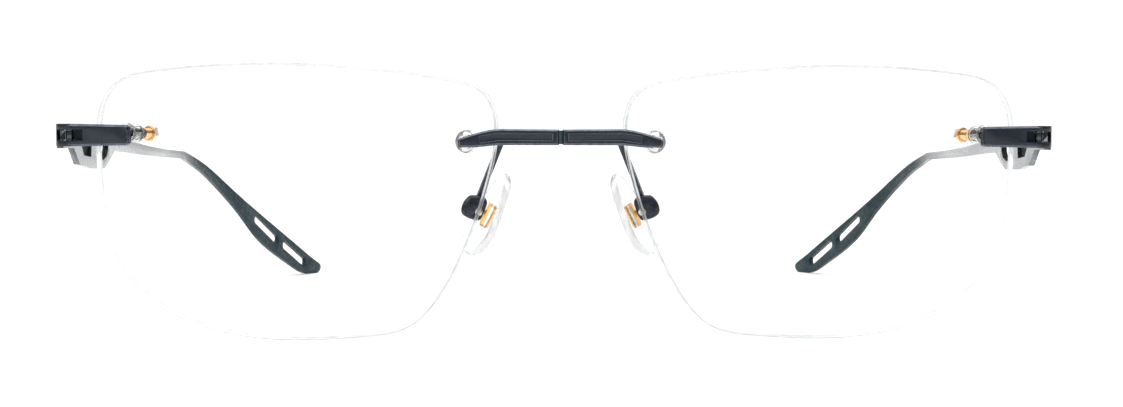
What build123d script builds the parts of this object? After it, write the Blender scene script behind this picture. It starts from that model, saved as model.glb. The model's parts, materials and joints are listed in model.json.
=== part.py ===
"""Rimless eyeglasses: two drilled lenses, a two-part bridge with nose pads, and folding temples.

Units are millimetres. +Z is up and the face of the glasses looks along -Y, so the wearer's left is +X.
The glasses stand as they are put down on a table, temples open, on the lenses and the temple tips.
The origin is on the table, in the middle of the glasses. Every left piece is modelled, and the right
one is its mirror image.
"""
import os
from math import atan2, degrees, hypot, sqrt

from build123d import *

os.makedirs("parts", exist_ok=True)

# ---- driving dimensions ----
# Distance from the bridge, where Y is counted from below, back to the middle of the glasses.
REACH = 70.22

# Lens: a drilled shell of constant thickness, wrapped round the face and tilted forward at the top.
LENS_POLE = (38.34, 1.2, 19.26)
LENS_THICKNESS = 1.9
LENS_RADIUS = 88.0
LENS_WRAP = 10.0
LENS_TILT = 6.0
LENS_BEVEL = 0.25
# Left lens seen square on, from the upper nose corner round by the temple side.
LENS_OUTLINE = [
    (-25.6, 16.3), (-20.9, 17.5), (-11.0, 18.85), (0.5, 19.6), (11.0, 19.4), (20.5, 18.5),
    (25.8, 17.0), (28.5, 14.0), (29.4, 10.0), (29.3, 3.0), (28.7, -4.0), (26.9, -9.9),
    (22.3, -14.2), (14.0, -17.95), (0.0, -19.6), (-10.0, -19.1), (-16.0, -17.9), (-21.0, -12.9),
    (-25.1, -5.1), (-27.9, 3.2), (-29.0, 9.6), (-28.2, 13.9),
]

# Hole positions, as X and Z on the lens's front.
BRIDGE_HOLE = (13.0, 28.2)
ENDPIECE_HOLE = (61.3, 29.35)

# Stack of small parts on each lens hole, counted along the hole from the lens's front.
STUD_RADIUS = 0.6
STUD_ROOT = 0.5
BUSH_RADIUS = 1.0
WASHER_THICKNESS = 0.3
LENS_GAP = 0.03
BRIDGE_WASHER_RADIUS = 1.63
ENDPIECE_WASHER_RADIUS = 1.42
BACK_WASHER_RADIUS = 1.25
COLLAR_RADII = (0.9, 0.75)
COLLAR_LENGTH = 1.1
BARREL_RADIUS = 0.8
BARREL_LENGTH = 1.35
FLANGE_RADIUS = 1.08
FLANGE_LENGTH = 0.3
HEX_RADIUS = 1.2
HEX_LENGTH = 0.8
HEX_CHAMFER = 0.15
HEX_TURN = 15.0
BRIDGE_NUT_RADIUS = 0.95
BRIDGE_NUT_LENGTH = 1.2

# Bridge bar halves and the recessed joint between them.
BAR_FRONT = -1.35
BAR_BACK = 0.6
BAR_SEAM = 0.28
BAR_TIP = 14.2
BAR_CHAMFER = 0.22
GROOVE_DEPTH = 0.16
CORE_TENON = (3.4, 0.7, 0.9)
BRIDGE_HEIGHT = 28.82

# Nose pad: a drop-shaped cushion on a metal core, rocking on a screw in a box at the end of its arm.
PAD_CENTRE = (10.4, 10.0, 17.65)
PAD_THICKNESS = 1.6
PAD_ROUND = 0.6
PAD_LEAN = 26.0
PAD_SPLAY = 28.0
# One side of the pad's outline: height along the pad and half its width there, from the top down.
PAD_PROFILE = [
    (6.5, 0), (6.1, 1.0), (5.2, 1.75), (3.4, 2.5), (0.5, 3.4), (-2.5, 4.0), (-4.8, 3.4), (-6.2, 1.8), (-6.6, 0),
]
PAD_PIVOT = (11.65, 7.8, 18.2)
PLATE_SIZE = (3.6, 2.6, 0.4)
# Block on the back of the core, as distance from the screw towards the pad and depth behind it.
CORE_BLOCK = [(0.98, -0.7), (1.86, -0.23), (1.28, 0.86), (0.98, 0.7)]
CORE_BLOCK_LENGTH = 2.8
TAB_THICKNESS = 0.7
TAB_RADIUS = 0.62
BOX_DEPTH = 2.0
BOX_SLOT = 0.78
# Pad box seen from the front, from its nose side round over the top.
BOX_OUTLINE = [
    (11.3, 17.35), (10.46, 19.5), (10.85, 20.2), (11.6, 20.6), (13.05, 20.6), (13.95, 19.7),
    (14.3, 18.6), (14.1, 17.85), (13.3, 17.3), (12.3, 16.93), (11.65, 16.9),
]
PAD_SCREW_RADIUS = 0.35
PAD_SCREW_HEAD = 0.54
ARM_WIDTH = 0.85
ARM_DEPTH = 0.7
# Pad arm's bends, from its root in the bridge down to the box.
ARM_ROUTE = [(8.3, 0.1, 28.3), (8.4, 2.7, 28.1), (11.65, 7.8, 20.3)]
ARM_BEND = 1.2

# Endpiece with its fork, and the hinge.
HINGE_X = 69.95
HINGE_Y = 10.6
HINGE_Z = 29.05
FORK_HEIGHT = 3.2
FORK_RADIUS = 2.0
FORK_SLOT = 1.6
FORK_WALL = 0.35
FORK_WALL_END = 0.6
SLOT_INNER = 2.1
# Shallow recess in the front, on the inner side of the knuckle, as seen from above from the hinge.
RECESS = [(-2.3, -FORK_RADIUS), (-1.45, -1.4), (-0.85, -1.4), (-0.85, -0.87), (-SLOT_INNER, -0.87)]
ENDPIECE_TIP = 0.8
ENDPIECE_TIP_HEIGHT = 2.8
ENDPIECE_CHAMFER = 0.3
HINGE_PIN_RADIUS = 0.45
HINGE_HEAD_RADIUS = 0.8
HINGE_HEAD_HEIGHT = 0.3
HINGE_WASHER_RADIUS = 0.74
HINGE_WASHER_THICKNESS = 0.15
HINGE_CLEARANCE = 0.04

# Temple: a flat plate outside the hinge, a slim bar, a bend and a slotted tip.
TEMPLE_INNER = 71.6
TEMPLE_THICKNESS = 0.9
POCKET_DEPTH = 0.5
KNUCKLE_RADIUS = 0.73
# Web from the knuckle to the plate, seen from above and counted from the hinge.
WEB = [(-0.73, 0), (0.73, 0), (1.0, 0.75), (2.4, 2.1), (2.4, 3.0), (1.7, 3.2), (0.2, 1.4)]
BEND_Y = 98.0
BEND_RADIUS = 10.0
BEND_ANGLE = 26.0
SLOT_WIDTH = 1.7
# Temple seen from the side up to the bend: along the underside, then back along the top.
UNDERSIDE = [
    (12.7, 27.15), (18.6, 27.15), (21.8, 24.75), (24.6, 24.5), (28.2, 24.0), (37.0, 23.92),
    (40.7, 25.33), (43.4, 26.6), (51.5, 26.35), (63.5, 25.85), (77.4, 25.4), (BEND_Y, 24.95),
]
TOPSIDE = [
    (BEND_Y, 26.3), (82.4, 26.75), (72.7, 27.15), (65.8, 27.5), (56.9, 28.05), (46.0, 28.6),
    (22.0, 29.8), (16.0, 30.25), (12.7, 30.25),
]
POCKET = [(22.3, 28.1), (24.3, 26.05), (28.45, 25.76), (28.8, 28.1)]
WINDOW = [(32.0, 28.1), (32.0, 25.28), (36.4, 25.28), (38.3, 25.8), (39.2, 26.8), (39.45, 28.1)]
# Temple tip in its own plane, as distance past the bend and height.
TIP_TOP = [(0, 25.2), (2.4, 24.2), (11.4, 19.15), (19.5, 14.55), (28.85, 9.5), (39.6, 3.7)]
TIP_END = [(39.6, 3.7), (43.6, 1.1), (41.6, 0)]
TIP_HEEL = [
    (39.6, 0), (36.4, 0.55), (33.4, 1.85), (19.9, 9.3), (16.1, 12.65), (7.1, 19.4),
    (3.35, 21.8), (0, 23.45),
]
TIP_SLOTS = [((19.7, 12.7), (27.7, 7.6)), ((29.6, 6.95), (37.8, 2.3))]

# ---- reference planes and points ----


def at(x, y, z):
    """A point given by its distance behind the bridge."""
    return Vector(x, y - REACH, z)


FRONT = Plane(origin=at(0, 0, 0), x_dir=(1, 0, 0), z_dir=(0, -1, 0))
PLAN = Plane(origin=at(0, 0, 0), x_dir=(1, 0, 0), z_dir=(0, 0, 1))
SIDE = Plane(origin=at(0, 0, 0), x_dir=(0, 1, 0), z_dir=(1, 0, 0))

lens_normal = Vector(0, -1, 0).rotate(Axis.X, LENS_TILT).rotate(Axis.Z, LENS_WRAP)
lens_across = Vector(1, 0, 0).rotate(Axis.Z, LENS_WRAP)
lens_plane = Plane(origin=at(*LENS_POLE), x_dir=lens_across, z_dir=lens_normal)
lens_centre = lens_plane.origin - lens_normal * LENS_RADIUS


def lens_seat(x, z):
    """The plane that touches the lens's front at x, z and faces out of it."""
    dx = x - lens_centre.X
    dz = z - lens_centre.Z
    point = Vector(x, lens_centre.Y - sqrt(LENS_RADIUS**2 - dx**2 - dz**2), z)
    normal = (point - lens_centre).normalized()
    return Plane(origin=point, x_dir=(-normal.Y, normal.X, 0), z_dir=normal)


bridge_seat = lens_seat(*BRIDGE_HOLE)
endpiece_seat = lens_seat(*ENDPIECE_HOLE)
stack_back = -LENS_THICKNESS - LENS_GAP


def save(piece, name):
    """Label a finished piece and write it."""
    piece.part.label = name
    export_step(piece.part, f"parts/{name}.step")


def save_pair(piece, name):
    """Write a left piece, then its mirror image as the right one."""
    save(piece, f"{name}_left")
    with BuildPart() as right:
        mirror(piece.part, about=Plane.YZ)
    save(right, f"{name}_right")


def ring(seat, start, outer, inner, length):
    """A flat ring on a lens hole, from start towards the back."""
    with BuildPart() as piece:
        with BuildSketch(seat.offset(start)):
            Circle(outer)
            Circle(inner, mode=Mode.SUBTRACT)
        extrude(amount=-length)
    return piece


# ---- lenses ----

with BuildPart() as lens:
    with BuildSketch(lens_plane.offset(-12)):
        with BuildLine():
            Spline(*LENS_OUTLINE, periodic=True)
        make_face()
    extrude(amount=14)
    with Locations(lens_centre):
        Sphere(LENS_RADIUS, mode=Mode.INTERSECT)
        Sphere(LENS_RADIUS - LENS_THICKNESS, mode=Mode.SUBTRACT)
    chamfer(lens.faces().filter_by(GeomType.SPHERE).edges(), LENS_BEVEL)
    for seat in (bridge_seat, endpiece_seat):
        with BuildSketch(seat.offset(1)):
            Circle(BUSH_RADIUS)
        extrude(amount=-2 - LENS_THICKNESS, mode=Mode.SUBTRACT)
save_pair(lens, "lens")

# ---- stud, bush, washers and nut on each lens hole ----


def stud(seat, length):
    """The stud fixed in the back of a bridge bar or endpiece."""
    with BuildPart() as piece:
        with BuildSketch(seat.offset(WASHER_THICKNESS + STUD_ROOT)):
            Circle(STUD_RADIUS)
        extrude(amount=-WASHER_THICKNESS - STUD_ROOT - LENS_THICKNESS - length)
    return piece


for name, seat, radius in (
    ("bridge", bridge_seat, BRIDGE_WASHER_RADIUS),
    ("endpiece", endpiece_seat, ENDPIECE_WASHER_RADIUS),
):
    save_pair(ring(seat, WASHER_THICKNESS, radius, STUD_RADIUS, WASHER_THICKNESS), f"{name}_front_washer")
    save_pair(ring(seat, -LENS_GAP, BUSH_RADIUS, STUD_RADIUS, LENS_THICKNESS - LENS_GAP), f"{name}_bush")
    save_pair(
        ring(seat, stack_back, BACK_WASHER_RADIUS, STUD_RADIUS, WASHER_THICKNESS), f"{name}_back_washer"
    )

nut_start = stack_back - WASHER_THICKNESS
endpiece_nut_length = COLLAR_LENGTH + BARREL_LENGTH + FLANGE_LENGTH + HEX_LENGTH
save_pair(stud(bridge_seat, WASHER_THICKNESS + BRIDGE_NUT_LENGTH), "bridge_stud")
save_pair(stud(endpiece_seat, WASHER_THICKNESS + endpiece_nut_length), "endpiece_stud")

with BuildPart() as bridge_nut:
    with BuildSketch(bridge_seat.offset(nut_start)):
        RegularPolygon(BRIDGE_NUT_RADIUS, 6)
        Circle(STUD_RADIUS, mode=Mode.SUBTRACT)
    extrude(amount=-BRIDGE_NUT_LENGTH)
save_pair(bridge_nut, "bridge_nut")

with BuildPart() as endpiece_collar:
    with BuildSketch(endpiece_seat.offset(nut_start)):
        Circle(COLLAR_RADII[0])
    with BuildSketch(endpiece_seat.offset(nut_start - COLLAR_LENGTH)):
        Circle(COLLAR_RADII[1])
    loft()
    with BuildSketch(endpiece_seat.offset(nut_start)):
        Circle(STUD_RADIUS)
    extrude(amount=-COLLAR_LENGTH, mode=Mode.SUBTRACT)
save_pair(endpiece_collar, "endpiece_collar")

with BuildPart() as endpiece_nut:
    barrel_start = nut_start - COLLAR_LENGTH
    flange_start = barrel_start - BARREL_LENGTH
    hex_start = flange_start - FLANGE_LENGTH
    with BuildSketch(endpiece_seat.offset(barrel_start)):
        Circle(BARREL_RADIUS)
    extrude(amount=-BARREL_LENGTH)
    with BuildSketch(endpiece_seat.offset(flange_start)):
        Circle(FLANGE_RADIUS)
    extrude(amount=-FLANGE_LENGTH)
    with BuildSketch(endpiece_seat.offset(hex_start)):
        RegularPolygon(HEX_RADIUS, 6, rotation=HEX_TURN)
    extrude(amount=-HEX_LENGTH)
    hex_end = endpiece_nut.faces().sort_by(Axis(endpiece_seat.origin, endpiece_seat.z_dir))[0]
    chamfer(hex_end.edges(), HEX_CHAMFER)
    with BuildSketch(endpiece_seat.offset(barrel_start)):
        Circle(STUD_RADIUS)
    extrude(amount=-BARREL_LENGTH - FLANGE_LENGTH - HEX_LENGTH, mode=Mode.SUBTRACT)
save_pair(endpiece_nut, "endpiece_nut")

# ---- bridge ----

bar_root = bridge_seat.from_local_coords((-2.0, 0, WASHER_THICKNESS))
bar_end = bridge_seat.from_local_coords((BAR_TIP - BRIDGE_HOLE[0] + 0.1, 0, WASHER_THICKNESS))

with BuildPart() as bridge_bar:
    with BuildSketch(PLAN.offset(BRIDGE_HEIGHT - 3)):
        with BuildLine():
            Polyline(
                (BAR_SEAM, BAR_FRONT),
                (BAR_SEAM, BAR_BACK),
                (7.0, BAR_BACK - 0.35),
                (bar_root.X, bar_root.Y + REACH),
                (bar_end.X, bar_end.Y + REACH),
                (bar_end.X, BAR_FRONT),
                close=True,
            )
        make_face()
    extrude(amount=6)
    with BuildSketch(FRONT.offset(-4)):
        with BuildLine():
            top = Line((BAR_SEAM, BRIDGE_HEIGHT + 1.08), (8.2, BRIDGE_HEIGHT + 1.15))
            shoulder = Spline(
                (8.2, BRIDGE_HEIGHT + 1.15),
                (11.4, 29.45),
                (BAR_TIP - 0.45, 28.72),
                tangents=[(1, 0), (0.94, -0.34)],
            )
            tip = Spline(
                shoulder @ 1,
                (BAR_TIP, 28.25),
                (BAR_TIP - 0.1, 27.4),
                tangents=[(0.94, -0.34), (-0.3, -1)],
            )
            under = Spline(tip @ 1, (11.6, 27.42), (8.2, BRIDGE_HEIGHT - 1.1), tangents=[(-1, 0.02), (-1, 0)])
            Polyline(under @ 1, (BAR_SEAM, BRIDGE_HEIGHT - 1.1), (BAR_SEAM, BRIDGE_HEIGHT + 1.08))
        make_face()
    extrude(amount=8, mode=Mode.INTERSECT)
    chamfer(bridge_bar.faces().sort_by(Axis.Y)[0].edges(), BAR_CHAMFER)
    with BuildSketch(FRONT.offset(-BAR_FRONT)):
        with BuildLine():
            Polyline((1.1, BRIDGE_HEIGHT), (8.6, BRIDGE_HEIGHT + 0.02), (11.2, BRIDGE_HEIGHT - 0.35))
        trace(line_width=0.95)
    extrude(amount=-GROOVE_DEPTH, mode=Mode.SUBTRACT)
    with Locations(at(0, BAR_BACK - 0.75, BRIDGE_HEIGHT)):
        Box(*CORE_TENON, mode=Mode.SUBTRACT)
save_pair(bridge_bar, "bridge_bar")

with BuildPart() as bridge_core:
    with Locations(at(0, BAR_BACK - 0.75, BRIDGE_HEIGHT)):
        Box(*CORE_TENON)
    with Locations(at(0, (BAR_FRONT + 0.35 + BAR_BACK) / 2, BRIDGE_HEIGHT)):
        Box(2 * BAR_SEAM, BAR_BACK - BAR_FRONT - 0.35, 1.9)
save(bridge_core, "bridge_core")

# ---- nose pads ----

pad_up = Vector(0, 0, 1).rotate(Axis.Y, -PAD_LEAN)
pad_normal = Vector(-1, 0, 0).rotate(Axis.Y, -PAD_LEAN).rotate(Axis(at(0, 0, 0), pad_up), -PAD_SPLAY)
pad_plane = Plane(origin=at(*PAD_CENTRE), x_dir=pad_up, z_dir=pad_normal)
pivot = at(*PAD_PIVOT)
pivot_plane = Plane(origin=pivot, x_dir=(1, 0, 0), z_dir=(0, -1, 0))
lean_plane = Plane(origin=pivot, x_dir=Vector(-1, 0, 0).rotate(Axis.Y, -PAD_LEAN), z_dir=-pad_up)
core_centre = pad_plane.to_local_coords(pivot)

with BuildSketch(pad_plane.offset(-PAD_THICKNESS / 2)) as core_plate:
    with Locations((core_centre.X, core_centre.Y)):
        RectangleRounded(PLATE_SIZE[0], PLATE_SIZE[1], 0.6)

with BuildPart() as pad_core:
    extrude(core_plate.sketch, amount=PLATE_SIZE[2])
    with BuildSketch(lean_plane):
        with BuildLine():
            Polyline(*CORE_BLOCK, close=True)
        make_face()
    extrude(amount=CORE_BLOCK_LENGTH / 2, both=True)
    with BuildSketch(lean_plane):
        with Locations((CORE_BLOCK[0][0] / 2, 0)):
            Rectangle(CORE_BLOCK[0][0], TAB_THICKNESS)
    extrude(amount=TAB_RADIUS, both=True)
    with BuildSketch(pivot_plane.offset(-TAB_THICKNESS / 2)):
        Circle(TAB_RADIUS)
    extrude(amount=TAB_THICKNESS)
    with BuildSketch(pivot_plane.offset(-TAB_THICKNESS)):
        Circle(PAD_SCREW_RADIUS + HINGE_CLEARANCE)
    extrude(amount=2 * TAB_THICKNESS, mode=Mode.SUBTRACT)
save_pair(pad_core, "pad_core")

with BuildPart() as nose_pad:
    with BuildSketch(pad_plane.offset(-PAD_THICKNESS / 2)):
        with BuildLine():
            Spline(*PAD_PROFILE, *[(u, -v) for u, v in PAD_PROFILE[-2:0:-1]], periodic=True)
        make_face()
    extrude(amount=PAD_THICKNESS)
    fillet(nose_pad.faces().filter_by(GeomType.PLANE).edges(), PAD_ROUND)
    extrude(core_plate.sketch, amount=PLATE_SIZE[2], mode=Mode.SUBTRACT)
save_pair(nose_pad, "nose_pad")

with BuildPart() as pad_box:
    with BuildSketch(FRONT.offset(-PAD_PIVOT[1] - BOX_DEPTH / 2)):
        with BuildLine():
            Polyline(*BOX_OUTLINE, close=True)
        make_face()
        fillet(vertices(), 0.3)
    extrude(amount=BOX_DEPTH)
    with BuildSketch(Plane(origin=pivot, x_dir=(1, 0, 0), z_dir=pad_up)):
        with BuildLine():
            Polyline((0.6, BOX_DEPTH / 2), (-2, BOX_DEPTH / 2), (-2, -BOX_DEPTH / 2), (0.6, -BOX_DEPTH / 2))
            Spline((0.6, -BOX_DEPTH / 2), (2.4, 0), (0.6, BOX_DEPTH / 2), tangents=[(1, 0), (-1, 0)])
        make_face()
    extrude(amount=4, both=True, mode=Mode.INTERSECT)
    with BuildSketch(FRONT.offset(-PAD_PIVOT[1] - BOX_SLOT / 2)):
        with BuildLine():
            Polyline((10, 16), (12.5, 16), (12.5, 19.3), (10, 19.9), close=True)
        make_face()
    extrude(amount=BOX_SLOT, mode=Mode.SUBTRACT)
    with BuildSketch(pivot_plane.offset(-BOX_DEPTH)):
        Circle(PAD_SCREW_RADIUS)
    extrude(amount=2 * BOX_DEPTH, mode=Mode.SUBTRACT)
save_pair(pad_box, "pad_box")

with BuildPart() as pad_screw:
    with BuildSketch(pivot_plane.offset(-BOX_DEPTH / 2)):
        Circle(PAD_SCREW_RADIUS)
    extrude(amount=BOX_DEPTH)
    with BuildSketch(pivot_plane.offset(BOX_DEPTH / 2)):
        Circle(PAD_SCREW_HEAD)
    extrude(amount=0.25)
    with BuildSketch(pivot_plane.offset(BOX_DEPTH / 2 + 0.12)):
        Rectangle(2, 0.16, rotation=35)
    extrude(amount=1, mode=Mode.SUBTRACT)
save_pair(pad_screw, "pad_screw")

with BuildPart() as pad_arm:
    with BuildLine():
        route = FilletPolyline(*[at(*point) for point in ARM_ROUTE], radius=ARM_BEND)
    with BuildSketch(Plane(origin=route @ 0, x_dir=(1, 0, 0), z_dir=route % 0)):
        Rectangle(ARM_WIDTH, ARM_DEPTH)
    sweep()
save_pair(pad_arm, "pad_arm")

# ---- endpieces and hinges ----

endpiece_plan = Plane(
    origin=(endpiece_seat.origin.X, endpiece_seat.origin.Y, HINGE_Z - FORK_HEIGHT / 2),
    x_dir=endpiece_seat.x_dir,
    z_dir=(0, 0, 1),
)
hinge = at(HINGE_X, HINGE_Y, HINGE_Z)
hinge_plane = Plane(origin=hinge, x_dir=(1, 0, 0), z_dir=(0, 0, 1))
fork = endpiece_plan.to_local_coords(hinge)
endpiece_back = -WASHER_THICKNESS - LENS_GAP

with BuildPart() as endpiece:
    with BuildSketch(endpiece_plan):
        with BuildLine():
            Polyline(
                (-ENDPIECE_TIP, endpiece_back),
                (-ENDPIECE_TIP, -WASHER_THICKNESS - 1.0),
                (0.9, -WASHER_THICKNESS - 1.25),
                (fork.X - 0.6, fork.Y - FORK_RADIUS + 0.1),
                (fork.X, fork.Y),
                (fork.X - 1.0, fork.Y + FORK_RADIUS - 0.27),
                (5.4, endpiece_back),
                close=True,
            )
        make_face()
        with Locations((fork.X, fork.Y)):
            Circle(FORK_RADIUS)
    extrude(amount=FORK_HEIGHT)
    tip_x = endpiece_plan.from_local_coords((-ENDPIECE_TIP, 0, 0)).X - 1
    with BuildSketch(FRONT.offset(-20)):
        with BuildLine():
            Polyline(
                (tip_x, HINGE_Z - ENDPIECE_TIP_HEIGHT / 2),
                (HINGE_X - 1, HINGE_Z - FORK_HEIGHT / 2),
                (HINGE_X + 4, HINGE_Z - FORK_HEIGHT / 2),
                (HINGE_X + 4, HINGE_Z + FORK_HEIGHT / 2),
                (HINGE_X - 1, HINGE_Z + FORK_HEIGHT / 2),
                (tip_x, HINGE_Z + ENDPIECE_TIP_HEIGHT / 2),
                close=True,
            )
        make_face()
    extrude(amount=24, mode=Mode.INTERSECT)
    rims = endpiece.faces().filter_by(lambda f: abs(f.normal_at().Z) > 0.9).edges()
    chamfer(rims.filter_by(lambda e: e.center().Y < endpiece_seat.origin.Y + 2.4), ENDPIECE_CHAMFER)
    with BuildSketch(hinge_plane):
        with BuildLine():
            Polyline(
                (RECESS[0][0], -FORK_RADIUS - 1),
                *RECESS,
                (-SLOT_INNER, 3 * FORK_RADIUS),
                (2 * FORK_RADIUS, 3 * FORK_RADIUS),
                (2 * FORK_RADIUS, FORK_WALL_END),
                (FORK_RADIUS - FORK_WALL, FORK_WALL_END),
                (FORK_RADIUS - FORK_WALL, -FORK_RADIUS - 1),
                close=True,
            )
        make_face()
    extrude(amount=FORK_SLOT / 2, both=True, mode=Mode.SUBTRACT)
    with BuildSketch(hinge_plane):
        Circle(HINGE_PIN_RADIUS)
    extrude(amount=FORK_HEIGHT, both=True, mode=Mode.SUBTRACT)
    with BuildSketch(hinge_plane.offset(FORK_HEIGHT / 2 - HINGE_HEAD_HEIGHT)):
        Circle(HINGE_HEAD_RADIUS)
    extrude(amount=1, mode=Mode.SUBTRACT)
save_pair(endpiece, "endpiece")

with BuildPart() as hinge_screw:
    with BuildSketch(hinge_plane.offset(-FORK_HEIGHT / 2)):
        Circle(HINGE_PIN_RADIUS)
    extrude(amount=FORK_HEIGHT)
    with BuildSketch(hinge_plane.offset(FORK_HEIGHT / 2 - HINGE_HEAD_HEIGHT)):
        Circle(HINGE_HEAD_RADIUS)
    extrude(amount=HINGE_HEAD_HEIGHT)
    with BuildSketch(hinge_plane.offset(FORK_HEIGHT / 2 - 0.15)):
        Rectangle(2, 0.2)
    extrude(amount=1, mode=Mode.SUBTRACT)
save_pair(hinge_screw, "hinge_screw")

with BuildPart() as hinge_washers:
    for level in (-FORK_SLOT / 2, FORK_SLOT / 2 - HINGE_WASHER_THICKNESS):
        with BuildSketch(hinge_plane.offset(level)):
            Circle(HINGE_WASHER_RADIUS)
            Circle(HINGE_PIN_RADIUS, mode=Mode.SUBTRACT)
        extrude(amount=HINGE_WASHER_THICKNESS)
save_pair(hinge_washers, "hinge_washers")

# ---- temples ----

knuckle_half = FORK_SLOT / 2 - HINGE_WASHER_THICKNESS - HINGE_CLEARANCE / 2
middle_x = TEMPLE_INNER + TEMPLE_THICKNESS / 2
bend_centre_x = middle_x - BEND_RADIUS
bend_end = at(bend_centre_x, BEND_Y, 0) + Vector(BEND_RADIUS, 0, 0).rotate(Axis.Z, BEND_ANGLE)
tip_plane = Plane(
    origin=bend_end,
    x_dir=Vector(0, 1, 0).rotate(Axis.Z, BEND_ANGLE),
    z_dir=Vector(1, 0, 0).rotate(Axis.Z, BEND_ANGLE),
)

with BuildPart() as temple:
    with BuildSketch(SIDE.offset(TEMPLE_INNER)):
        with BuildLine():
            Polyline(*UNDERSIDE, *TOPSIDE, close=True)
        make_face()
        with BuildLine():
            Polyline(*WINDOW, close=True)
        make_face(mode=Mode.SUBTRACT)
    extrude(amount=TEMPLE_THICKNESS)
    with BuildSketch(SIDE.offset(TEMPLE_INNER)):
        with BuildLine():
            Polyline(*POCKET, close=True)
        make_face()
    extrude(amount=POCKET_DEPTH, mode=Mode.SUBTRACT)
    with BuildSketch(Plane(origin=at(middle_x, BEND_Y, 0), x_dir=(1, 0, 0), z_dir=(0, -1, 0))):
        with Locations((0, (UNDERSIDE[-1][1] + TOPSIDE[0][1]) / 2)):
            Rectangle(TEMPLE_THICKNESS, TOPSIDE[0][1] - UNDERSIDE[-1][1])
    with BuildSketch(Plane(origin=bend_end, x_dir=tip_plane.z_dir, z_dir=-tip_plane.x_dir)):
        with Locations((0, (TIP_HEEL[-1][1] + TIP_TOP[0][1]) / 2)):
            Rectangle(TEMPLE_THICKNESS, TIP_TOP[0][1] - TIP_HEEL[-1][1])
    loft()
    with BuildSketch(tip_plane.offset(-TEMPLE_THICKNESS / 2)):
        with BuildLine():
            Spline(*TIP_TOP)
            Spline(*TIP_END, tangents=[(0.88, -0.48), (-1, 0)])
            Line(TIP_END[-1], TIP_HEEL[0])
            Spline(*TIP_HEEL)
            Line(TIP_HEEL[-1], TIP_TOP[0])
        make_face()
        for end, start in TIP_SLOTS:
            run = Vector(*start) - Vector(*end)
            with Locations(((start[0] + end[0]) / 2, (start[1] + end[1]) / 2)):
                SlotOverall(
                    hypot(run.X, run.Y), SLOT_WIDTH, rotation=degrees(atan2(run.Y, run.X)), mode=Mode.SUBTRACT
                )
    extrude(amount=TEMPLE_THICKNESS)
    with BuildSketch(hinge_plane):
        Circle(KNUCKLE_RADIUS)
        with BuildLine():
            Polyline(*WEB, close=True)
        make_face()
    extrude(amount=knuckle_half, both=True)
    with BuildSketch(hinge_plane):
        Circle(HINGE_PIN_RADIUS + HINGE_CLEARANCE)
    extrude(amount=FORK_HEIGHT, both=True, mode=Mode.SUBTRACT)
save_pair(temple, "temple")
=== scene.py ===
"""Studio scene of the rimless eyeglasses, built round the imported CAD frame. Units are metres."""
import json
import math

import bmesh
import bpy
from mathutils import Matrix, Vector

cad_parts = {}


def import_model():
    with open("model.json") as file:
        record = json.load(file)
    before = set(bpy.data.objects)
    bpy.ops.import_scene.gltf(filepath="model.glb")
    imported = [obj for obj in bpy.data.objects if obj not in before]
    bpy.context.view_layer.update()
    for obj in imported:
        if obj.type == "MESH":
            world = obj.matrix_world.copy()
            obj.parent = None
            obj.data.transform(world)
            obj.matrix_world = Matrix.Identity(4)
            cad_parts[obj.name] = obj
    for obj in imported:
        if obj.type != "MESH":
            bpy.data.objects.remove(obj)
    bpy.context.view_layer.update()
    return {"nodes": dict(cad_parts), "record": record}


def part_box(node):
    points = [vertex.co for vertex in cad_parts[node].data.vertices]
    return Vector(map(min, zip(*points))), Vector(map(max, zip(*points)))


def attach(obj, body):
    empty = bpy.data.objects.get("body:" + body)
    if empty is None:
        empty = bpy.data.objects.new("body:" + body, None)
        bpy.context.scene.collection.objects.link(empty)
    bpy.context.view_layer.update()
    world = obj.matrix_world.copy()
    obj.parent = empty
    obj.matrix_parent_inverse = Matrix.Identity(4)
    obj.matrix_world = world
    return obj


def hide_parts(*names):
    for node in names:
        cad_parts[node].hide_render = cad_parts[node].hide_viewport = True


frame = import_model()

MM = 0.001
SIDES = {"left": 1, "right": -1}
nodes = frame["nodes"]
record_slots = {row["node"]: row["material_slot"] for row in frame["record"]["subparts"]}

# ---- material helpers ----


def new_material(name):
    """An empty node material and its Principled shader."""
    material = bpy.data.materials.new(name)
    material.use_nodes = True
    tree = material.node_tree
    tree.nodes.clear()
    shader = tree.nodes.new("ShaderNodeBsdfPrincipled")
    output = tree.nodes.new("ShaderNodeOutputMaterial")
    tree.links.new(shader.outputs["BSDF"], output.inputs["Surface"])
    return material, tree, shader


def noise(tree, scale, detail=3.0, roughness=0.5, stretch=(1, 1, 1)):
    """A noise value over the object, with its grain stretched along the axes given."""
    place = tree.nodes.new("ShaderNodeTexCoord")
    mapping = tree.nodes.new("ShaderNodeMapping")
    mapping.inputs["Scale"].default_value = stretch
    texture = tree.nodes.new("ShaderNodeTexNoise")
    texture.inputs["Scale"].default_value = scale
    texture.inputs["Detail"].default_value = detail
    texture.inputs["Roughness"].default_value = roughness
    tree.links.new(place.outputs["Object"], mapping.inputs["Vector"])
    tree.links.new(mapping.outputs["Vector"], texture.inputs["Vector"])
    return texture.outputs["Fac"]


def colour_between(tree, value, low, high, spread=(0.35, 0.65)):
    """A colour that runs from low to high as the value crosses the spread."""
    ramp = tree.nodes.new("ShaderNodeValToRGB")
    ramp.color_ramp.elements[0].position = spread[0]
    ramp.color_ramp.elements[0].color = (*low, 1)
    ramp.color_ramp.elements[1].position = spread[1]
    ramp.color_ramp.elements[1].color = (*high, 1)
    tree.links.new(value, ramp.inputs["Fac"])
    return ramp.outputs["Color"]


def number_between(tree, value, low, high):
    """A number that runs from low to high with the value."""
    node = tree.nodes.new("ShaderNodeMapRange")
    node.inputs["From Min"].default_value = 0.3
    node.inputs["From Max"].default_value = 0.7
    node.inputs["To Min"].default_value = low
    node.inputs["To Max"].default_value = high
    tree.links.new(value, node.inputs["Value"])
    return node.outputs["Result"]


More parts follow.
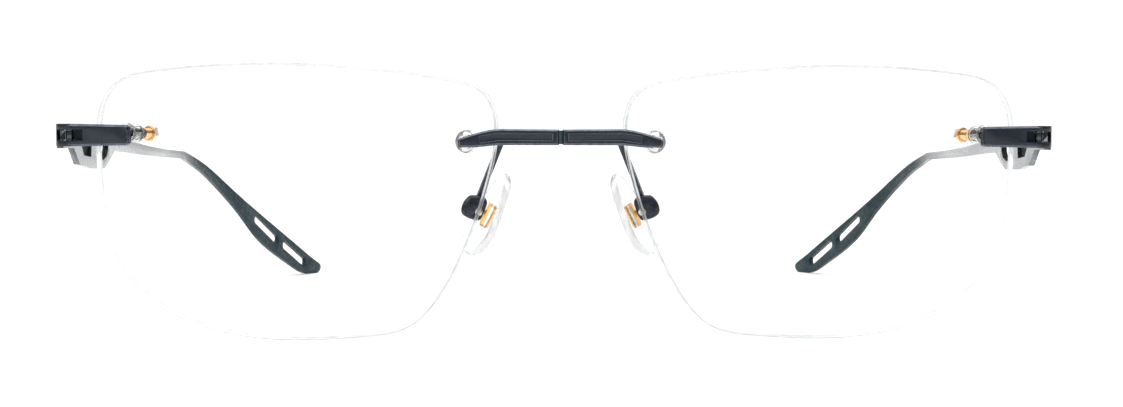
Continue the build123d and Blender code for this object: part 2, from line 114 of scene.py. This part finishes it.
def smooth_step(tree, value, span, ends):
    """A number that eases from one end to the other as the value crosses the span."""
    node = tree.nodes.new("ShaderNodeMapRange")
    node.interpolation_type = "SMOOTHSTEP"
    node.inputs["From Min"].default_value, node.inputs["From Max"].default_value = span
    node.inputs["To Min"].default_value, node.inputs["To Max"].default_value = ends
    tree.links.new(value, node.inputs["Value"])
    return node.outputs["Result"]


def bump(tree, shader, value, depth):
    """Relief of the given depth in metres."""
    node = tree.nodes.new("ShaderNodeBump")
    node.inputs["Strength"].default_value = 1.0
    node.inputs["Distance"].default_value = depth
    tree.links.new(value, node.inputs["Height"])
    tree.links.new(node.outputs["Normal"], shader.inputs["Normal"])


def lacquer(name, dark, light, specular, roughness, coat, coat_roughness=0.15):
    """Satin paint on metal: a slight mottle, and the fine texture of a sprayed finish."""
    material, tree, shader = new_material(name)
    mottle = noise(tree, 700, 4)
    tree.links.new(colour_between(tree, mottle, dark, light), shader.inputs["Base Color"])
    low, high = roughness
    tree.links.new(number_between(tree, noise(tree, 2500, 2), low, high), shader.inputs["Roughness"])
    shader.inputs["Specular IOR Level"].default_value = specular
    shader.inputs["Coat Weight"].default_value = coat
    shader.inputs["Coat Roughness"].default_value = coat_roughness
    bump(tree, shader, noise(tree, 6000, 2), 0.003 * MM)
    return material


def metal(name, dark, light, roughness, grain=(1, 1, 1), depth=0.002 * MM):
    """Bare or plated metal with fine turning or brushing marks."""
    material, tree, shader = new_material(name)
    shader.inputs["Metallic"].default_value = 1.0
    tree.links.new(colour_between(tree, noise(tree, 1200, 3), dark, light), shader.inputs["Base Color"])
    marks = noise(tree, 3000, 4, 0.6, grain)
    low, high = roughness
    tree.links.new(number_between(tree, marks, low, high), shader.inputs["Roughness"])
    bump(tree, shader, marks, depth)
    return material


def clear(name, shade, colour, ior, roughness, scale, depth, transmission=1.0, shadow=0.9):
    """A clear solid, slightly clouded by its own noise, that lets most light through to the table."""
    material, tree, shader = new_material(name)
    haze = noise(tree, scale, 3)
    tree.links.new(colour_between(tree, haze, shade, colour), shader.inputs["Base Color"])
    low, high = roughness
    tree.links.new(number_between(tree, haze, low, high), shader.inputs["Roughness"])
    shader.inputs["Transmission Weight"].default_value = transmission
    shader.inputs["IOR"].default_value = ior
    if depth:
        bump(tree, shader, haze, depth)
    output = next(node for node in tree.nodes if node.type == "OUTPUT_MATERIAL")
    ray = tree.nodes.new("ShaderNodeLightPath")
    see_through = tree.nodes.new("ShaderNodeBsdfTransparent")
    see_through.inputs["Color"].default_value = (shadow, shadow, shadow, 1)
    mix = tree.nodes.new("ShaderNodeMixShader")
    tree.links.new(ray.outputs["Is Shadow Ray"], mix.inputs[0])
    tree.links.new(shader.outputs["BSDF"], mix.inputs[1])
    tree.links.new(see_through.outputs["BSDF"], mix.inputs[2])
    tree.links.new(mix.outputs["Shader"], output.inputs["Surface"])
    return material


def fade_past_bend(material):
    """Turns glossy lacquer duller along the tip, from the ear bend on."""
    tree = material.node_tree
    shader = next(node for node in tree.nodes if node.type == "BSDF_PRINCIPLED")
    bend = frame["record"]["mounts"][1]["pos_m"][1]
    place = tree.nodes.new("ShaderNodeTexCoord")
    axes = tree.nodes.new("ShaderNodeSeparateXYZ")
    tree.links.new(place.outputs["Object"], axes.inputs["Vector"])
    for socket, front, tip in (("Coat Weight", 1.0, 0.0), ("Specular IOR Level", 0.5, 0.22)):
        along = smooth_step(tree, axes.outputs["Y"], (bend - 4 * MM, bend + 16 * MM), (front, tip))
        tree.links.new(along, shader.inputs[socket])


def painted_highlight_bands(material, start, stops):
    """Lays gold bands across a metal with a painted highlight stripe and a dark line beside it, counted from
    the pad's screw towards the pad.
    """
    tree = material.node_tree
    shader = next(node for node in tree.nodes if node.type == "BSDF_PRINCIPLED")
    place = tree.nodes.new("ShaderNodeTexCoord")
    mirror = tree.nodes.new("ShaderNodeVectorMath")
    mirror.operation = "ABSOLUTE"
    across = tree.nodes.new("ShaderNodeVectorMath")
    across.operation = "DOT_PRODUCT"
    lean = math.radians(PAD_LEAN)
    across.inputs[1].default_value = (-math.cos(lean), 0, -math.sin(lean))
    distance = tree.nodes.new("ShaderNodeMapRange")
    zero = -math.cos(lean) * start[0] - math.sin(lean) * start[2]
    distance.inputs["From Min"].default_value = zero
    distance.inputs["From Max"].default_value = zero + 3 * MM
    ramp = tree.nodes.new("ShaderNodeValToRGB")
    for index, (position, colour) in enumerate(stops):
        if index > 1:
            ramp.color_ramp.elements.new(position)
        ramp.color_ramp.elements[index].position = position
        ramp.color_ramp.elements[index].color = (*colour, 1)
    tree.links.new(place.outputs["Object"], mirror.inputs[0])
    tree.links.new(mirror.outputs["Vector"], across.inputs[0])
    tree.links.new(across.outputs["Value"], distance.inputs["Value"])
    tree.links.new(distance.outputs["Result"], ramp.inputs["Fac"])
    tree.links.new(ramp.outputs["Color"], shader.inputs["Base Color"])


# ---- materials ----

PAD_LEAN = 26
PAD_SPLAY = 28
joints = {row["name"]: row for row in frame["record"]["behaviour"]["joints"]}

NAVY = lacquer("navy_lacquer", (0.008, 0.012, 0.020), (0.012, 0.018, 0.029), 0.32, (0.24, 0.34), 0.15)
TEAL = lacquer("teal_lacquer", (0.014, 0.034, 0.044), (0.022, 0.048, 0.060), 0.4, (0.24, 0.34), 0.15)
# Painted shade: a near-black lacquer laid in the slots, pockets and web, where shade falls.
RECESS_SHADE = lacquer("recess_painted_shade", (0.006, 0.010, 0.014), (0.010, 0.015, 0.020), 0.15, (0.55, 0.70), 0.0)
TEMPLE = lacquer("temple_lacquer", (0.008, 0.026, 0.034), (0.013, 0.036, 0.046), 0.5, (0.22, 0.30), 1.0)
fade_past_bend(TEMPLE)
# The lighter metal on the front chamfers is edge wear plus a painted highlight; the lip metal is a painted
# highlight on the groove walls and bar bevels.
WORN_EDGE_HIGHLIGHT = metal("worn_edge_painted_highlight", (0.07, 0.08, 0.10), (0.11, 0.125, 0.15), (0.22, 0.34))
LIP_HIGHLIGHT = metal("lip_painted_highlight", (0.10, 0.12, 0.14), (0.16, 0.18, 0.21), (0.2, 0.3))
GOLD = metal("gold_plate", (0.82, 0.50, 0.24), (0.92, 0.62, 0.34), (0.16, 0.26), (1, 6, 1))
PALE_GOLD = metal("pale_gold", (0.86, 0.72, 0.52), (0.95, 0.86, 0.72), (0.14, 0.24), (1, 6, 1))
CORE_GOLD_HIGHLIGHT = metal("core_gold_painted_highlight", (0.80, 0.46, 0.17), (0.92, 0.57, 0.26), (0.20, 0.30))
# The white stripe across the pad core is a painted highlight.
painted_highlight_bands(
    CORE_GOLD_HIGHLIGHT,
    joints["pad_rock_left"]["pos_m"],
    [
        (0.30, (0.86, 0.50, 0.19)), (0.44, (0.90, 0.56, 0.24)), (0.47, (0.97, 0.93, 0.86)),
        (0.53, (0.95, 0.92, 0.88)), (0.56, (0.45, 0.43, 0.42)), (0.60, (0.88, 0.54, 0.22)),
    ],
)
STEEL = metal("screw_steel", (0.60, 0.55, 0.48), (0.74, 0.70, 0.64), (0.18, 0.30), (1, 1, 8))
DARK_STEEL = metal("dark_steel", (0.05, 0.06, 0.07), (0.09, 0.10, 0.12), (0.22, 0.34))
LENS = clear(
    "lens_clear", (0.980, 0.983, 0.983), (0.988, 0.990, 0.989), 1.06, (0.0, 0.004), 60, 0, shadow=0.97
)
LENS_WALL = clear(
    "lens_ground_wall", (0.83, 0.85, 0.85), (0.88, 0.90, 0.90), 1.01, (0.0, 0.03), 900, 0.001 * MM, 1.0, 0.95
)
LENS_BEVEL = clear(
    "lens_bevel", (0.50, 0.53, 0.54), (0.66, 0.68, 0.69), 1.3, (0.35, 0.50), 900, 0.008 * MM, 0.65, 0.85
)
LENS_BACK_BEVEL = clear(
    "lens_back_bevel", (0.66, 0.68, 0.69), (0.78, 0.80, 0.81), 1.15, (0.30, 0.45), 900, 0.008 * MM, 0.7, 0.9
)
PLASTIC = clear("clear_plastic", (0.93, 0.92, 0.90), (0.98, 0.97, 0.96), 1.46, (0.03, 0.08), 1500, 0.004 * MM)
RIM = clear("moulded_rim", (0.66, 0.66, 0.66), (0.80, 0.80, 0.79), 1.15, (0.25, 0.40), 1500, 0.004 * MM, 0.8)
SILICONE = clear("silicone", (0.95, 0.96, 0.97), (0.98, 0.985, 0.99), 1.3, (0.14, 0.24), 900, 0.02 * MM, 0.9)

SLOT_MATERIALS = {
    "lens_glass": LENS,
    "clear_plastic": PLASTIC,
    "silicone": SILICONE,
    "navy_metal": NAVY,
    "bridge_teal": TEAL,
    "temple_metal": TEMPLE,
    "dark_steel": DARK_STEEL,
    "screw_steel": STEEL,
    "gold_plate": GOLD,
}

for name, slot in record_slots.items():
    for holder in nodes[name].material_slots:
        holder.material = SLOT_MATERIALS[slot]

# The collar is darkened on one side and plated on the other, and the hinge washers are darkened.
CHOSEN = {
    "endpiece_collar_left": GOLD, "hinge_washers_left": DARK_STEEL, "hinge_washers_right": DARK_STEEL,
    "pad_core_left": CORE_GOLD_HIGHLIGHT, "pad_core_right": CORE_GOLD_HIGHLIGHT,
}
for name, material in CHOSEN.items():
    for holder in nodes[name].material_slots:
        holder.material = material

# ---- rounded edges on the metal pieces ----

# Widths in millimetres. The bevel of a bar or an endpiece takes the material slot added for it: the bar's
# bevel the painted lip highlight, the endpiece's bevel the worn edge with its painted highlight.
RIM_ROUND = 0.07
EDGE_ROUND = {
    "bridge_bar": 0.045, "pad_core": 0.08, "pad_screw": 0.06, "pad_arm": 0.12,
    "endpiece": 0.09, "temple": 0.14, "bridge_nut": 0.08, "endpiece_nut": 0.08, "bridge_core": 0.04,
}


def rounded(piece, width):
    """Joins the loose facets of a CAD node, rounds its sharp edges and returns the bevel."""
    weld = piece.modifiers.new("weld", "WELD")
    weld.merge_threshold = 0.001 * MM
    bevel = piece.modifiers.new("bevel", "BEVEL")
    bevel.width = width
    bevel.segments = 3
    bevel.limit_method = "ANGLE"
    bevel.angle_limit = math.radians(32)
    bevel.harden_normals = True
    for face in piece.data.polygons:
        face.use_smooth = True
    return bevel


for stem, width in EDGE_ROUND.items():
    for name in (stem, f"{stem}_left", f"{stem}_right"):
        if name in nodes:
            edge = rounded(nodes[name], width * MM)
            if stem in ("bridge_bar", "endpiece"):
                nodes[name].data.materials.append(WORN_EDGE_HIGHLIGHT)
                nodes[name].data.materials.append(LIP_HIGHLIGHT)
                edge.material = 2 if stem == "bridge_bar" else 1
                edge.use_clamp_overlap = stem != "bridge_bar"

# ---- lenses: polished faces, ground wall and bevels ----


LENS_TILT = 6
LENS_WRAP = 10
POLISHED_FROM = 0.92
WALL_UP_TO = 0.25


def finish_lens(side):
    """Gives a lens's wall, front bevel and back bevel their own ground finish."""
    lens = nodes[f"lens_{side}"]
    axis = Vector((0, -1, 0))
    axis.rotate(Matrix.Rotation(math.radians(LENS_TILT), 3, "X"))
    axis.rotate(Matrix.Rotation(math.radians(LENS_WRAP * SIDES[side]), 3, "Z"))
    for material in (LENS_WALL, LENS_BEVEL, LENS_BACK_BEVEL):
        lens.data.materials.append(material)
    wall, front_bevel, back_bevel = 1, 2, 3
    for face in lens.data.polygons:
        facing = face.normal.dot(axis)
        if abs(facing) >= POLISHED_FROM:
            continue
        if facing > WALL_UP_TO:
            face.material_index = front_bevel
        elif facing < -WALL_UP_TO:
            face.material_index = back_bevel
        else:
            face.material_index = wall


for side in SIDES:
    finish_lens(side)

# ---- recesses with painted shade, chamfers and lips with painted highlights, rims and plating, face by face ----

# Stretches of the temple and the fork, in millimetres from the hinge's axis: x away from the face,
# y back and z up.
CUT_X, CUT_Y, CUT_Z = (1.66, 2.5), (11.4, 29.2), (-3.85, -0.8)
POCKET_X, POCKET_Y = (2.0, 2.3), (11.4, 18.5)
WEB_X, WEB_Y = (0.3, 1.66), (0.1, 3.4)
SLOT_END = -2.4
SLOT_HALF_HEIGHT = 0.82
GROOVE_DEPTH = 0.155
HEXAGON_LENGTH = 0.79


def paint(piece, material, chosen):
    """Gives a piece's chosen faces another material."""
    piece.data.materials.append(material)
    index = len(piece.data.materials) - 1
    for face in piece.data.polygons:
        if chosen(face):
            face.material_index = index


def between(value, span):
    """Whether a value lies inside a span."""
    return span[0] < value < span[1]


def hinge_offset(point, side):
    """A point in millimetres from the hinge's axis, with +X away from the face."""
    pin = joints[f"hinge_{side}"]["pos_m"]
    return (
        (point[0] - pin[0]) * SIDES[side] / MM,
        (point[1] - pin[1]) / MM,
        (point[2] - pin[2]) / MM,
    )


def finish_temple(side):
    """Paints shade onto the pocket, the window's walls and the web behind the fork."""
    temple = nodes[f"temple_{side}"]

    def recessed(face):
        x, y, z = hinge_offset(face.center, side)
        sideways = abs(face.normal.x)
        cut = between(x, CUT_X) and between(y, CUT_Y) and between(z, CUT_Z) and sideways < 0.5
        pocket_floor = between(x, POCKET_X) and between(y, POCKET_Y) and sideways > 0.9
        web = between(x, WEB_X) and between(y, WEB_Y)
        return cut or pocket_floor or web

    # Painted shade on the recessed faces.
    paint(temple, RECESS_SHADE, recessed)


def finish_endpiece(side):
    """Paints shade into the fork's slot and recess, and gives the chamfers on the front the worn edge with a
    painted highlight.
    """
    endpiece = nodes[f"endpiece_{side}"]
    corners = endpiece.data.vertices

    def in_slot(face):
        x, _, _ = hinge_offset(face.center, side)
        heights = [abs(hinge_offset(corners[i].co, side)[2]) for i in face.vertices]
        return x > SLOT_END and max(heights) < SLOT_HALF_HEIGHT

    def chamfered(face):
        return face.normal.y < -0.3 and 0.35 < abs(face.normal.z) < 0.93

    # Painted shade in the slot.
    paint(endpiece, RECESS_SHADE, in_slot)
    # Chamfers get the worn edge with its painted highlight.
    for face in endpiece.data.polygons:
        if chamfered(face) and face.material_index == 0:
            face.material_index = 1


def finish_bridge(side):
    """Gives the chamfers round a bridge bar's front the worn edge with a painted highlight, and paints a
    highlight on the walls of its groove.
    """
    bar = nodes[f"bridge_bar_{side}"]
    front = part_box(f"bridge_bar_{side}")[0].y
    # Slot 1 is the worn edge with painted highlight, slot 2 the painted lip highlight.
    chamfer, groove_wall = 1, 2
    for face in bar.data.polygons:
        if abs(face.normal.y) < 0.3 and front < face.center.y < front + GROOVE_DEPTH * MM:
            face.material_index = groove_wall
        elif face.normal.y < -0.3 and abs(face.normal.z) > 0.45:
            face.material_index = chamfer


def flat_axis(piece):
    """The direction that a turned piece's biggest flat face looks in."""
    return max(piece.data.polygons, key=lambda face: face.area).normal.copy()


def finish_turned(side):
    """Gives the washers a duller moulded rim, and the nut a pale hexagon."""
    for hole in ("bridge", "endpiece"):
        axis = flat_axis(nodes[f"{hole}_front_washer_{side}"])
        for part in ("front_washer", "back_washer"):
            ring = nodes[f"{hole}_{part}_{side}"]
            paint(ring, RIM, lambda face, axis=axis: abs(face.normal.dot(axis)) < 0.5)
            rounded(ring, RIM_ROUND * MM).material = 1
    nut = nodes[f"endpiece_nut_{side}"]
    axis = flat_axis(nodes[f"endpiece_front_washer_{side}"])
    if axis.y < 0:
        axis = -axis
    depths = [face.center.dot(axis) for face in nut.data.polygons]
    start = max(depths) - HEXAGON_LENGTH * MM
    paint(nut, PALE_GOLD, lambda face: face.center.dot(axis) > start)


for side in SIDES:
    finish_temple(side)
    finish_endpiece(side)
    finish_bridge(side)
    finish_turned(side)

# ---- silicone pads ----

# One side of the pad's outline from the top down, then each ring of its surface from the back to the
# nose side, as its share of the outline and its depth.
PAD_OUTLINE = [
    (6.45, 0.35), (6.05, 1.05), (5.2, 1.72), (3.4, 2.5), (0.5, 3.38), (-2.5, 3.96), (-4.8, 3.35),
    (-6.1, 1.8), (-6.5, 0.5),
]
PAD_RINGS = [
    (0.2, -0.50), (0.5, -0.54), (0.72, -0.64), (0.86, -0.72), (0.95, -0.62), (0.99, -0.30),
    (0.99, 0.10), (0.95, 0.42), (0.84, 0.60), (0.62, 0.70), (0.35, 0.74), (0.12, 0.75),
]
PAD_OFFSET = (-1.25, 2.2, -0.55)


def pad_axes(side):
    """Directions up the pad, across it and out of its nose side."""
    up = Vector((0, 0, 1))
    up.rotate(Matrix.Rotation(math.radians(-PAD_LEAN), 3, "Y"))
    out = Vector((-1, 0, 0))
    out.rotate(Matrix.Rotation(math.radians(-PAD_LEAN), 3, "Y"))
    out.rotate(Matrix.Rotation(math.radians(-PAD_SPLAY), 3, up))
    across = out.cross(up)
    mirrored = Vector((SIDES[side], 1, 1))
    return up * mirrored, across * mirrored, out * mirrored


def smooth_loop(points, steps):
    """A closed smooth curve through the points given."""
    loop = []
    for index in range(len(points)):
        before, start, end, after = (Vector(points[(index + k) % len(points)]) for k in (-1, 0, 1, 2))
        for step in range(steps):
            t = step / steps
            straight = 2 * start + (end - before) * t
            bent = (2 * before - 5 * start + 4 * end - after) * t**2
            twisted = (3 * start - before - 3 * end + after) * t**3
            loop.append((straight + bent + twisted) / 2)
    return loop


def closed_shell(shell, rings):
    """Skins a row of rings of points and caps both ends."""
    made = [[shell.verts.new(spot) for spot in ring] for ring in rings]
    for near, far in zip(made, made[1:]):
        for index in range(len(near)):
            after = (index + 1) % len(near)
            shell.faces.new((near[index], near[after], far[after], far[index]))
    shell.faces.new(reversed(made[0]))
    shell.faces.new(made[-1])


def finished(shell, name, material, body, node):
    """Turns a built shell into a smooth piece that stands in for a CAD node."""
    bmesh.ops.recalc_face_normals(shell, faces=shell.faces)
    mesh = bpy.data.meshes.new(name)
    shell.to_mesh(mesh)
    shell.free()
    for face in mesh.polygons:
        face.use_smooth = True
    mesh.materials.append(material)
    piece = bpy.data.objects.new(name, mesh)
    bpy.context.scene.collection.objects.link(piece)
    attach(piece, body)
    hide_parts(node)


def silicone_pad(side):
    """A drop-shaped cushion, dished round its core and crowned on the nose side."""
    up, across, out = pad_axes(side)
    pin = Vector(joints[f"pad_rock_{side}"]["pos_m"])
    centre = pin + Vector(PAD_OFFSET) * Vector((SIDES[side], 1, 1)) * MM
    outline = smooth_loop(PAD_OUTLINE + [(u, -v) for u, v in reversed(PAD_OUTLINE)], 4)
    rings = [
        [centre + (up * u * share + across * v * share + out * depth) * MM for u, v in outline]
        for share, depth in PAD_RINGS
    ]
    shell = bmesh.new()
    closed_shell(shell, rings)
    finished(shell, f"silicone_pad_{side}", SILICONE, f"pad_{side}", f"nose_pad_{side}")


# The pad box in millimetres from its screw: the outline outwards and up, the middle block beside the
# core's slot, and the dome's rings, as their share of the outline and depth.
BOX_OUTLINE = [
    (-0.35, -0.85), (-0.85, 0.3), (-1.14, 1.3), (-0.8, 2.0), (-0.05, 2.36), (0.7, 2.38), (1.4, 2.33),
    (2.2, 1.5), (2.58, 0.4), (2.4, -0.35), (1.65, -0.87), (0.65, -1.2), (0.0, -1.24),
]
BOX_MIDDLE = [
    (0.87, -1.0), (1.6, -0.8), (2.3, -0.3), (2.48, 0.4), (2.1, 1.4), (1.3, 2.2), (-0.05, 2.25),
    (-0.7, 1.9), (-0.9, 1.66), (0.87, 1.2),
]
BOX_RINGS = [
    (0.2, 1.0), (0.42, 0.985), (0.62, 0.93), (0.78, 0.84), (0.9, 0.70), (0.97, 0.54), (0.995, 0.41),
]
BOX_HEART = (0.75, 0.55)
BOX_MIDDLE_DEPTH = 0.42


def domed_pad_box(side):
    """Two domed cheeks either side of the pad core's tab, joined by a block behind it."""
    pin = Vector(joints[f"pad_rock_{side}"]["pos_m"])

    def spot(across, height, depth):
        return pin + Vector((across * SIDES[side], depth, height)) * MM

    heart_x, heart_z = BOX_HEART
    outline = smooth_loop(BOX_OUTLINE, 5)
    shell = bmesh.new()
    for facing in (-1, 1):
        rings = [
            [
                spot(heart_x + (x - heart_x) * share, heart_z + (z - heart_z) * share, facing * depth)
                for x, z in outline
            ]
            for share, depth in BOX_RINGS
        ]
        closed_shell(shell, rings)
    ends = (-BOX_MIDDLE_DEPTH, BOX_MIDDLE_DEPTH)
    closed_shell(shell, [[spot(x, z, depth) for x, z in BOX_MIDDLE] for depth in ends])
    finished(shell, f"domed_pad_box_{side}", NAVY, "front", f"pad_box_{side}")


for side in SIDES:
    silicone_pad(side)
    domed_pad_box(side)

# ---- stage, light and camera ----


def floor():
    """A wide pale floor."""
    mesh = bpy.data.meshes.new("floor")
    reach = 30.0
    corners = [(-reach, -reach, 0), (reach, -reach, 0), (reach, reach, 0), (-reach, reach, 0)]
    mesh.from_pydata(corners, [], [(0, 1, 2, 3)])
    plane = bpy.data.objects.new("floor", mesh)
    bpy.context.scene.collection.objects.link(plane)
    material, tree, shader = new_material("floor_paper")
    paper = noise(tree, 40, 4)
    white = colour_between(tree, paper, (0.93, 0.93, 0.93), (0.95, 0.95, 0.95))
    tree.links.new(white, shader.inputs["Base Color"])
    shader.inputs["Roughness"].default_value = 0.9
    shader.inputs["Specular IOR Level"].default_value = 0.0
    mesh.materials.append(material)


def softbox(name, place, target, size, watts):
    """A rectangular soft light aimed at a point."""
    data = bpy.data.lights.new(name, "AREA")
    data.shape = "RECTANGLE"
    data.size, data.size_y = size
    data.energy = watts
    lamp = bpy.data.objects.new(name, data)
    bpy.context.scene.collection.objects.link(lamp)
    lamp.location = place
    lamp.rotation_euler = (Vector(target) - Vector(place)).to_track_quat("-Z", "Y").to_euler()


def overhead(strength, spread):
    """Broad even light from above."""
    data = bpy.data.lights.new("overhead", "SUN")
    data.energy = strength
    data.angle = math.radians(spread)
    lamp = bpy.data.objects.new("overhead", data)
    bpy.context.scene.collection.objects.link(lamp)
    lamp.rotation_euler = (math.radians(8), 0, 0)


def world(behind, beside, above):
    """A studio surround: white behind the glasses, darker at the sides and front, bright above."""
    surround = bpy.data.worlds.new("surround")
    bpy.context.scene.world = surround
    surround.use_nodes = True
    tree = surround.node_tree
    background = tree.nodes["Background"]
    place = tree.nodes.new("ShaderNodeTexCoord")
    axes = tree.nodes.new("ShaderNodeSeparateXYZ")
    tree.links.new(place.outputs["Generated"], axes.inputs["Vector"])
    back = smooth_step(tree, axes.outputs["Y"], (0.25, 0.75), (beside, behind))
    top = smooth_step(tree, axes.outputs["Z"], (0.35, 0.8), (0, above))
    total = tree.nodes.new("ShaderNodeMath")
    total.operation = "MAXIMUM"
    tree.links.new(back, total.inputs[0])
    tree.links.new(top, total.inputs[1])
    tree.links.new(total.outputs["Value"], background.inputs["Strength"])
    background.inputs["Color"].default_value = (1, 1, 1, 1)


# The view: distances from the bridge in millimetres, turns in degrees, lens length in millimetres.
BRIDGE_HALF_DEPTH = 1.35
CAMERA_DISTANCE = 252.22
CAMERA_ASIDE = -0.513
CAMERA_HEIGHT = 28.0
CAMERA_TURNS = (-2.864, -1.9, 0.103)
CAMERA_LENS = 58.05
CAMERA_SHIFT = -0.0767


def camera():
    """The photograph's view: a quarter of a metre in front of the bridge, at about its height."""
    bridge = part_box("bridge_bar_left")[0].y + BRIDGE_HALF_DEPTH * MM
    data = bpy.data.cameras.new("camera")
    data.sensor_width = 36.0
    data.lens = CAMERA_LENS
    data.clip_start = 0.01
    data.shift_x = CAMERA_SHIFT
    view = bpy.data.objects.new("camera", data)
    bpy.context.scene.collection.objects.link(view)
    yaw, pitch, roll = (math.radians(turn) for turn in CAMERA_TURNS)
    view.matrix_world = (
        Matrix.Translation((CAMERA_ASIDE * MM, bridge - CAMERA_DISTANCE * MM, CAMERA_HEIGHT * MM))
        @ Matrix.Rotation(yaw, 4, "Z")
        @ Matrix.Rotation(math.pi / 2 + pitch, 4, "X")
        @ Matrix.Rotation(roll, 4, "Z")
    )
    bpy.context.scene.camera = view


floor()
world(behind=1.07, beside=0.30, above=1.3)
overhead(strength=1.2, spread=60)
softbox("front_left", place=(-0.6, -0.5, 0.45), target=(0, -0.06, 0.02), size=(0.3, 0.3), watts=1.2)
camera()
bpy.context.scene.view_settings.view_transform = "Standard"
